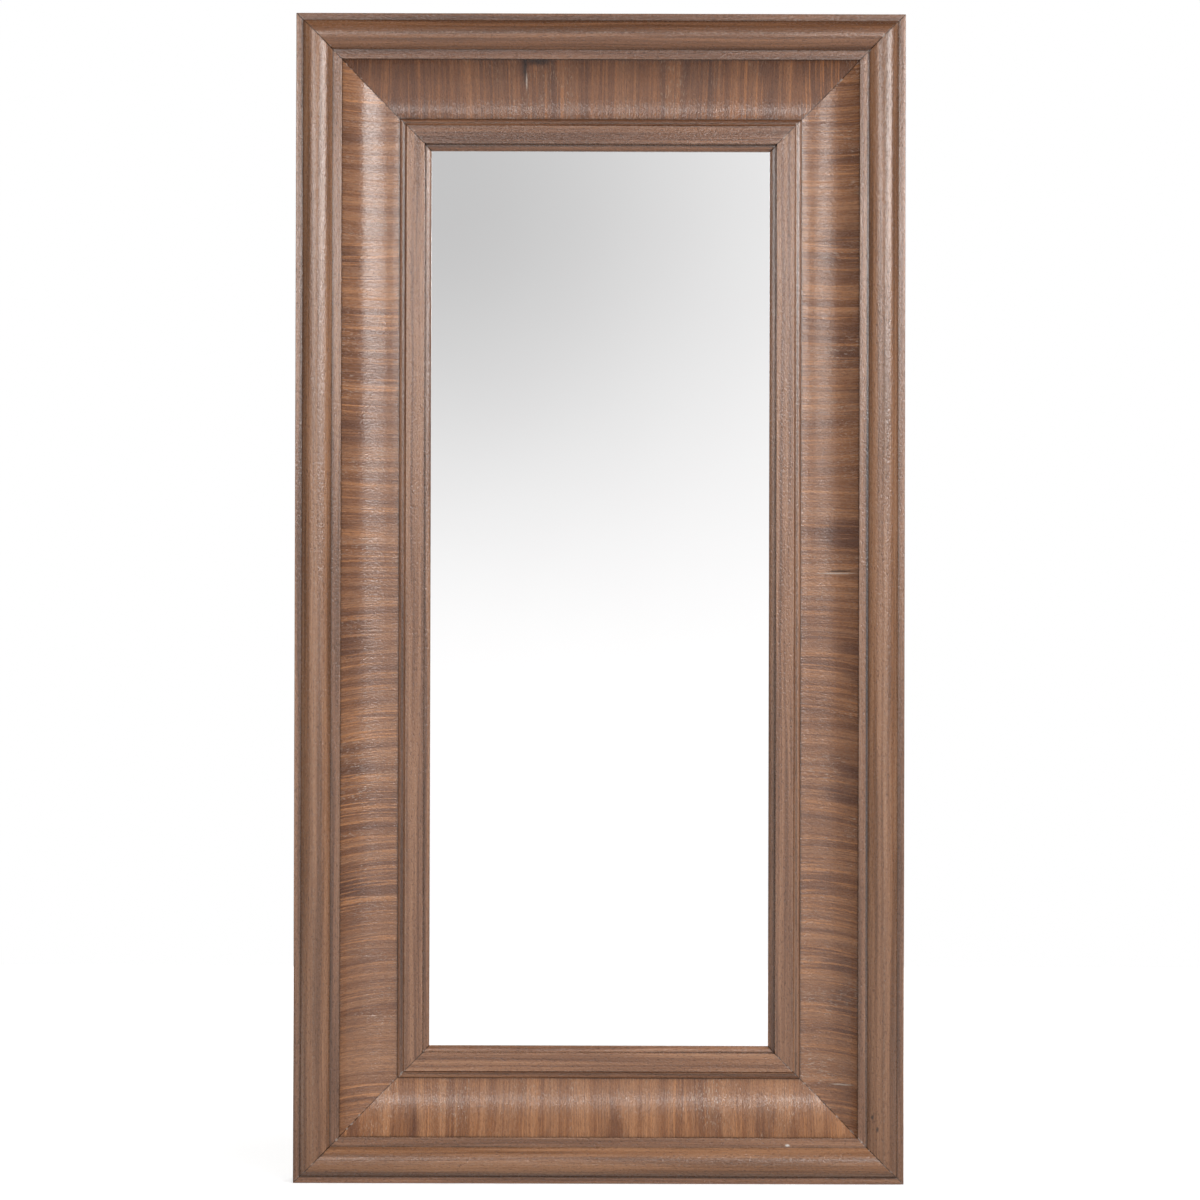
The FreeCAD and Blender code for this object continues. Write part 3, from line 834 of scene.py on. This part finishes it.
sight_low, sight_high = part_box("sight_moulding_left")
sight_edge = sight_high.x - outer_low.x
flat_level = -sight_low.y
bead_proud = 0.0012
bead_width = 0.0075
bead_rise = 0.0038
cove_width = 0.0055
flat_width = 0.032
flat_arris = 0.001
slip_gap = 0.001
slip_thickness = 0.0085
lip_thickness = 0.0045
lip_ease = 0.0007
lip_shade = 0.0012
sight_corner_reach = 0.0017
sight_relief_depth = 0.00003
sight_relief_reach = 0.002
bead_foot = (scoop_end, float(scoop_line(scoop_end, 0)) + bead_proud)
bead_top = (bead_foot[0] + bead_width, bead_foot[1] + bead_rise)
flat_start = bead_top[0] + cove_width
flat_end = flat_start + flat_width
slip_top = (flat_end + slip_gap, bed_level + slip_thickness)
lip = (sight_edge, bed_level + lip_thickness)
# Painted shadow: two spots on the lip's inner face, over the edge of the glass, that the corner mark darkens
lip_shadow = [(sight_edge, lip[1] - lip_shade), (sight_edge, bed_level + lip_shade)]
sight_profile = np.concatenate((
    straight((scoop_end, bed_level), (sight_edge, bed_level), 0.006),
    straight((sight_edge, bed_level), (sight_edge, lip[1] - lip_ease), 0.001),
    level_arc(slip_top, lip, 14)[:0:-1],
    straight(slip_top, (flat_end, flat_level - flat_arris), 0.001),
    rounded((flat_end - flat_arris, flat_level - flat_arris), flat_arris, 0, 90)[:-1],
    straight((flat_end - flat_arris, flat_level), (flat_start, flat_level)),
    level_arc(bead_top, (flat_start, flat_level), 10)[:0:-1],
    level_arc(bead_top, bead_foot, 12)[:-1],
    straight(bead_foot, (scoop_end, bed_level), 0.002),
))
sight_walnut = long_grain_walnut(
    "sight_walnut",
    dark=(0.140, 0.064, 0.035, 1),
    mid=(0.255, 0.124, 0.069, 1),
    light=(0.340, 0.178, 0.104, 1),
    band=0.007,
)
mitred_sticks(
    "sight_stick",
    "sight_moulding",
    first_seed=30,
    profile=sight_profile,
    relief=(sight_relief_depth, lambda inset, level: level > flat_level - sight_relief_reach),
    material=sight_walnut,
    # Paler along the flat's arrises and the lip: wear and painted highlight
    arrises=[(flat_end, flat_level), (flat_start, flat_level), lip],
    # Painted shade in the bead's hollows, above the slip and on the lip's inner face
    corners=[bead_foot, bead_top, slip_top, *lip_shadow],
    corner_reach=sight_corner_reach,
)


# Mirror glass: silvered float glass in the rebate behind the lip, flat and without a bevel.
# The silver has a little haze that only shows close by.

glass, tree, shader = finished("silvered_glass", Metallic=1.0)
place = own_place(tree)
haze = mottle(tree, stretched(tree, place, 6, 6, 6), 5.0)
silver = toned(tree, remapped(tree, haze, 0.3, 0.7), (0.962, 0.956, 0.958, 1), (0.968, 0.964, 0.965, 1))
tree.links.new(silver, shader["Base Color"])
tree.links.new(remapped(tree, haze, 0.5, 0.8, 0.004, 0.012), shader["Roughness"])
dress(glass, "mirror_glass")


# Setting blocks: two black rubber pads under the lower edge of the glass.
# They are cut from strip, with a fine moulded texture.

rubber, tree, shader = finished("setting_rubber", Specular_IOR_Level=0.35)
place = own_place(tree)
grit = mottle(tree, stretched(tree, place, 900, 900, 900), 3.0)
tree.links.new(toned(tree, grit, (0.022, 0.022, 0.023, 1), (0.065, 0.064, 0.062, 1)), shader["Base Color"])
tree.links.new(remapped(tree, grit, 0.3, 0.7, 0.7, 0.9), shader["Roughness"])
raised(tree, shader, grit, 0.0001)
dress(rubber, "setting_blocks")


# Glass stops: plain strips pinned behind the glass on all four sides, under the back panel.
# They are unfinished poplar, sawn along the grain.

poplar = ((0.68, 0.56, 0.38, 1), (0.60, 0.48, 0.31, 1), (0.47, 0.37, 0.22, 1))
dress_four("stop_poplar", poplar, "glass_stop", "glass_stop", band=0.008)


# Back panel: a sheet of hardboard screwed over the rebate, with rounded corners.
# Its face is smooth and brown, with short fibres pressed into it and darker scuffs.

hardboard, tree, shader = finished("back_hardboard", Specular_IOR_Level=0.4)
place = own_place(tree)
fibre = mottle(tree, stretched(tree, place, 300, 300, 700), 4.0)
cloud = mottle(tree, stretched(tree, place, 4, 4, 4), 5.0)
board = toned(tree, remapped(tree, fibre, 0.3, 0.7), (0.20, 0.118, 0.066, 1), (0.34, 0.215, 0.128, 1))
scuffed = tinted(tree, remapped(tree, cloud, 0.4, 0.75, 0, 0.45), board, (0.15, 0.088, 0.05, 1))
tree.links.new(scuffed, shader["Base Color"])
tree.links.new(remapped(tree, cloud, 0.3, 0.7, 0.5, 0.68), shader["Roughness"])
raised(tree, shader, fibre, 0.00008)
dress(hardboard, "back_panel")


# Back panel screws: zinc-plated pan heads with a cross recess, driven through the edge of the panel.
# Two stand by each of its corners, and the others are spaced evenly between along its sides.

panel_low, panel_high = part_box("back_panel")
panel_head = (0.004, 0.0022)
panel_screw_inset = 0.009
panel_screw_end = 0.040
panel_screw_spacing = 0.600


def zinc_plate(name, bright, dull, scale):
    """Plated steel: brushed metal whose tone and gloss drift in clouds, with fine drawn lines."""
    material, tree, shader = finished(name, Metallic=1.0)
    place = own_place(tree)
    cloud = mottle(tree, stretched(tree, place, scale, scale, scale), 4.0)
    drawn = mottle(tree, stretched(tree, place, 2600, 2600, 60), 2.0)
    tone = calc(tree, "ADD", calc(tree, "MULTIPLY", cloud, 0.7), calc(tree, "MULTIPLY", drawn, 0.3))
    tree.links.new(toned(tree, remapped(tree, tone, 0.35, 0.65), dull, bright), shader["Base Color"])
    tree.links.new(remapped(tree, tone, 0.3, 0.7, 0.42, 0.26), shader["Roughness"])
    raised(tree, shader, drawn, 0.00003)
    return material


def pan_heads(name, centres, seat, radius, rise, material):
    """Screw heads on a polar grid, one for each centre, facing the wall.

    A head goes from its middle out over a dome, rise times the root of one less the fourth power of the
    share of the radius, down its wall to the seat and back to the middle. The recess is two crossed slots.
    """
    turn_count = 64
    wall_share = 0.35
    recess_share = 0.6
    turns = np.linspace(0, 2 * math.pi, turn_count, endpoint=False)
    over = np.linspace(0.06, 1, 22)
    share = np.concatenate((over, [1, 0.5]))[:, None]
    dome = np.concatenate((rise * (wall_share + (1 - wall_share) * np.sqrt(1 - over**4)), [0, 0]))[:, None]
    x = radius * share * np.cos(turns)
    z = radius * share * np.sin(turns)
    arm, slot = 0.55 * radius, 0.15 * radius

    def slot_share(long, wide):
        """Share of the recess's depth in one slot: full along its arm, falling off at its end and sides."""
        return np.clip((arm - np.abs(long)) / slot, 0, 1) * np.clip(1.6 - np.abs(wide) / slot, 0, 1)

    sunk = recess_share * rise * np.maximum(slot_share(x, z), slot_share(z, x))
    y = np.broadcast_to(dome, x.shape) - np.where(dome > 0, sunk, 0)
    rings = np.stack((x, y, z), axis=-1).reshape(-1, 3)
    poles = np.array(((0, (1 - recess_share) * rise, 0), (0, 0, 0)))
    head = np.concatenate((rings, poles))
    centres = np.array(centres)
    points = head + np.column_stack((centres[:, 0], np.full(len(centres), seat), centres[:, 1]))[:, None]
    ring = np.arange(len(rings)).reshape(x.shape)
    turned = np.roll(ring, -1, axis=1)
    quads = np.stack((ring[:-1], turned[:-1], turned[1:], ring[1:]), axis=-1).reshape(-1, 4)
    middle, under = len(rings), len(rings) + 1
    fans = np.stack((np.full(turn_count, middle), turned[0], ring[0]), axis=-1)
    base = np.stack((np.full(turn_count, under), ring[-1], turned[-1]), axis=-1)
    starts = np.arange(len(centres))[:, None, None] * len(head)
    faces = []
    for group in (quads, fans, base):
        faces += (group[None] + starts).reshape(-1, group.shape[1]).tolist()
    piece = made(name, points, faces, material)
    return piece


def even_places(span):
    """Even places along a span, centred, no further apart than the screw spacing."""
    return np.linspace(-span / 2, span / 2, math.ceil(span / panel_screw_spacing) + 1)


panel_middle = (panel_low + panel_high) / 2
screw_x = panel_high.x - panel_screw_inset
screw_z = panel_high.z - panel_middle.z - panel_screw_inset
screw_columns = even_places(2 * (panel_high.x - panel_screw_end))
screw_rows = even_places(2 * (panel_high.z - panel_middle.z - panel_screw_end))
heads = [(x, panel_middle.z + end * screw_z) for end in (-1, 1) for x in screw_columns]
heads += [(end * screw_x, panel_middle.z + z) for end in (-1, 1) for z in screw_rows]
screw_zinc = zinc_plate("screw_zinc", (0.72, 0.68, 0.56, 1), (0.48, 0.44, 0.34, 1), 400)
panel_heads = pan_heads("back_panel_screw_heads", heads, panel_high.y, *panel_head, screw_zinc)
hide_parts("back_panel_screws")


# Strap hangers: steel strap folded round the bar of each D-ring and screwed to the sub-frame.
# They are zinc plated, with the strap's sheared edges left as cut.

strap_zinc = zinc_plate("strap_zinc", (0.70, 0.70, 0.69, 1), (0.46, 0.46, 0.45, 1), 160)
dress(strap_zinc, "hanger_strap_left", "hanger_strap_right")


# Hanger screws: three pan heads down the middle of each strap, through it and into the plywood.
# They carry the weight, so they are larger than those of the panel.

hanger_head = (0.0045, 0.0028)
hanger_screw_pitch = 0.016
hanger_last_screw = 0.010
strap_heads = []
for side in ("left", "right"):
    strap_low, strap_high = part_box("hanger_strap_" + side)
    strap_middle = (strap_low.x + strap_high.x) / 2
    lowest = strap_low.z + hanger_last_screw
    strap_heads += [(strap_middle, lowest + step * hanger_screw_pitch) for step in range(3)]
strap_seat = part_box("hanger_screws")[1].y - hanger_head[1]
hanger_heads = pan_heads("hanger_screw_heads", strap_heads, strap_seat, *hanger_head, screw_zinc)
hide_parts("hanger_screws")


# D-rings: round steel wire bent to a straight bar and a half-round bow, welded shut in the bar.
# Each hangs by its bar in the strap's eye, and lies over its strap until a hook lifts it.

wire_radius = 0.0025
bar_half = 0.017
ring_corner = 0.006
ring_leg = 0.006
ring_bow = bar_half + ring_corner
ring_crossing = 0.02775
ring_rest_gap = 0.0003
strap_thickness = 0.0032
eye_radius = 0.00415
ring_tilt = math.asin((strap_thickness + ring_rest_gap + wire_radius - eye_radius) / ring_crossing)


def ring_wire():
    """Points of a D-ring about the middle of its bar: a circle of wire carried round a closed path.

    The path runs along the bar, round a corner, down a leg, round the bow and up again. The radius times the
    cosine of an even turn goes outwards from it, and the radius times the sine goes to the wall. All is then
    tilted about the bar to where the ring rests on its strap.
    """
    shoulder = -ring_corner
    bow_level = shoulder - ring_leg
    path = np.concatenate((
        straight((-bar_half, 0), (bar_half, 0), 0.0025),
        rounded((bar_half, shoulder), ring_corner, 90, 0, 12)[:-1],
        straight((ring_bow, shoulder), (ring_bow, bow_level), 0.0016),
        rounded((0, bow_level), ring_bow, 0, -180, 48)[:-1],
        straight((-ring_bow, bow_level), (-ring_bow, shoulder), 0.0016),
        rounded((-bar_half, shoulder), ring_corner, 180, 90, 12)[:-1],
    ))
    ahead = np.roll(path, -1, axis=0) - np.roll(path, 1, axis=0)
    outward = np.column_stack((-ahead[:, 1], ahead[:, 0])) / np.linalg.norm(ahead, axis=1, keepdims=True)
    turn = np.linspace(0, 2 * math.pi, 20, endpoint=False)
    flat = path[:, None] + wire_radius * np.cos(turn)[:, None] * outward[:, None]
    away = np.broadcast_to(wire_radius * np.sin(turn), flat.shape[:2])
    y = away * math.cos(ring_tilt) - flat[..., 1] * math.sin(ring_tilt)
    z = away * math.sin(ring_tilt) + flat[..., 1] * math.cos(ring_tilt)
    return np.stack((flat[..., 0], y, z), axis=-1)


wire = ring_wire()
index = np.arange(wire.shape[0] * wire.shape[1]).reshape(wire.shape[:2])
over = np.roll(index, -1, axis=0)
beside = np.roll(index, -1, axis=1)
both = np.roll(over, -1, axis=1)
wire_faces = np.stack((index, beside, both, over), axis=-1).reshape(-1, 4).tolist()
for side in ("left", "right"):
    hinge = next(joint for joint in frame["joints"] if joint["child"] == "ring_" + side)
    ring = made("d_ring_" + side, wire + np.array(hinge["pos_m"]), wire_faces, strap_zinc)
    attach(ring, "ring_" + side)
    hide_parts("hanger_ring_" + side)


# Studio: a pale floor under the frame, a white sweep all round, and two large soft boxes high in front.
# The right one is the key. Flags keep both off the top rail and the glass, and a third box lights the back.

floor_half = 5.0
floor_drop = 0.0006
floor_lines = 9
floor_mesh = bpy.data.meshes.new("studio_floor")
steps = np.linspace(-floor_half, floor_half, floor_lines)
floor_x, floor_y = np.meshgrid(steps, steps, indexing="ij")
grid = np.stack((floor_x, floor_y, np.full_like(floor_x, -floor_drop)), axis=-1)
cells = np.arange(floor_lines**2).reshape(floor_lines, floor_lines)
floor_quads = np.stack((cells[:-1, :-1], cells[1:, :-1], cells[1:, 1:], cells[:-1, 1:]), axis=-1)
floor_mesh.from_pydata(grid.reshape(-1, 3).tolist(), [], floor_quads.reshape(-1, 4).tolist())
floor = bpy.data.objects.new("studio_floor", floor_mesh)
bpy.context.scene.collection.objects.link(floor)
paper, tree, shader = finished("floor_paper", Specular_IOR_Level=0.0, Roughness=1.0)
place = own_place(tree)
fleck = mottle(tree, stretched(tree, place, 60, 60, 60), 4.0)
seen = wired(tree, "ShaderNodeLightPath", {}).outputs
pale = toned(tree, fleck, (0.86, 0.86, 0.86, 1), (0.88, 0.88, 0.88, 1))
bounce = (0.12, 0.12, 0.12, 1)
tree.links.new(tinted(tree, seen["Is Camera Ray"], bounce, pale), shader["Base Color"])
shown = calc(tree, "MAXIMUM", seen["Is Camera Ray"], seen["Is Glossy Ray"])
away = wired(tree, "ShaderNodeVectorMath", {0: place}, operation="LENGTH").outputs["Value"]
glow = remapped(tree, away, 0.7, 2.3, 0.6, 1.05)
shader["Emission Color"].default_value = (1, 1, 1, 1)
tree.links.new(calc(tree, "MULTIPLY", shown, glow), shader["Emission Strength"])
floor_mesh.materials.append(paper)

world = bpy.data.worlds.new("studio_sweep")
bpy.context.scene.world = world
world.use_nodes = True
tree = world.node_tree
outlook = wired(tree, "ShaderNodeTexCoord", {}).outputs["Generated"]
way = wired(tree, "ShaderNodeSeparateXYZ", {0: outlook})
seen = wired(tree, "ShaderNodeLightPath", {}).outputs
rise = remapped(tree, way.outputs["Z"], -0.022, 0.1)
side_share = remapped(tree, way.outputs["X"], -0.04, 0.07, 0.485, 0.165)
sweep = calc(tree, "SUBTRACT", 1.06, calc(tree, "MULTIPLY", rise, side_share))
ahead = remapped(tree, way.outputs["Y"], -0.9, -0.5, 1.0, 0.25)
reflected = calc(tree, "MULTIPLY", calc(tree, "MULTIPLY", sweep, ahead), seen["Is Glossy Ray"])
shown = calc(tree, "MAXIMUM", seen["Is Camera Ray"], reflected)
front_way = (0.12, -0.97, 0.2)
front = wired(tree, "ShaderNodeVectorMath", {0: outlook, 1: front_way}, operation="DOT_PRODUCT")
front_fill = remapped(tree, front.outputs["Value"], 0.55, 0.88, 0.11, 0.75)
back_fill = remapped(tree, front.outputs["Value"], -0.9, -0.3, 0.9, 0.11)
fill = calc(tree, "MAXIMUM", front_fill, back_fill)
backdrop = tree.nodes["Background"].inputs
backdrop["Color"].default_value = (1, 1, 1, 1)
unseen = calc(tree, "SUBTRACT", 1.0, seen["Is Glossy Ray"])
tree.links.new(calc(tree, "MAXIMUM", shown, calc(tree, "MULTIPLY", fill, unseen)), backdrop["Strength"])


def soft_box(name, place, width, tall, radiance, inner_left, slant, outer_glow):
    """A rectangular soft light of a set brightness, turned to the middle of the frame.

    It fades to its lower and outer edges, and a flag cuts it off above a line that climbs at a slant from
    its inner edge. Where the slant is 0 there is no flag.
    """
    target = Vector((0, 0, height / 2))
    lamp = bpy.data.lights.new(name, "AREA")
    lamp.shape = "RECTANGLE"
    lamp.size = width
    lamp.size_y = tall
    lamp.energy = radiance * math.pi * width * tall
    lamp.use_nodes = True
    tree = lamp.node_tree
    on_cloth = wired(tree, "ShaderNodeNewGeometry", {}).outputs["Parametric"]
    spot = wired(tree, "ShaderNodeSeparateXYZ", {0: on_cloth}).outputs
    from_inner = spot["X"] if inner_left else calc(tree, "SUBTRACT", 1.0, spot["X"])
    flag_foot = 0.43
    over_foot = calc(tree, "SUBTRACT", spot["Y"], flag_foot)
    below_flag = calc(tree, "MULTIPLY_ADD", over_foot, -slant, from_inner)
    upward = remapped(tree, spot["Y"], 0.10, 0.52, 0.04, 1.0)
    outward = remapped(tree, from_inner, 0.3, 1.0, 1.0, outer_glow)
    flagged = calc(tree, "MULTIPLY", upward, remapped(tree, below_flag, 0.0, 0.04))
    glow = calc(tree, "MULTIPLY", flagged, outward)
    tree.links.new(glow, tree.nodes["Emission"].inputs["Strength"])
    box = bpy.data.objects.new(name, lamp)
    box.location = place
    box.rotation_euler = (target - Vector(place)).to_track_quat("-Z", "Y").to_euler()
    bpy.context.scene.collection.objects.link(box)


soft_box(
    "key_box", (2.28, -4.3, 2.4), 4.0, 2.6, radiance=13.4, inner_left=True, slant=1.97, outer_glow=0.9
)
soft_box(
    "side_box", (-2.05, -4.3, 2.4), 3.4, 2.6, radiance=11.0, inner_left=False, slant=2.16, outer_glow=0.12
)
soft_box(
    "back_box", (0.8, 4.0, 2.8), 2.4, 1.6, radiance=6.0, inner_left=True, slant=0.0, outer_glow=1.0
)


# Camera: a little below the middle of the frame, eight metres in front, turned up to centre it.
# Its lens and slight roll follow the outline of the frame in the photograph.

photo_pixels = 1200
focal_pixels = 4406.6
sensor = 36.0
lens = bpy.data.cameras.new("photo_camera")
lens.sensor_width = sensor
lens.lens = focal_pixels / photo_pixels * sensor
camera = bpy.data.objects.new("photo_camera", lens)
camera_side = 0.0006
camera_distance = 8.0
camera_height = 0.9918
aim_height = 1.0473
photo_roll = 0.148
camera.location = (camera_side, -camera_distance, camera_height)
sight = Vector((camera_side, 0.0, aim_height)) - camera.location
roll = Quaternion((0, 0, 1), math.radians(photo_roll))
camera.rotation_mode = "QUATERNION"
camera.rotation_quaternion = sight.to_track_quat("-Z", "Y") @ roll
bpy.context.scene.collection.objects.link(camera)
bpy.context.scene.camera = camera
bpy.context.scene.view_settings.view_transform = "Standard"
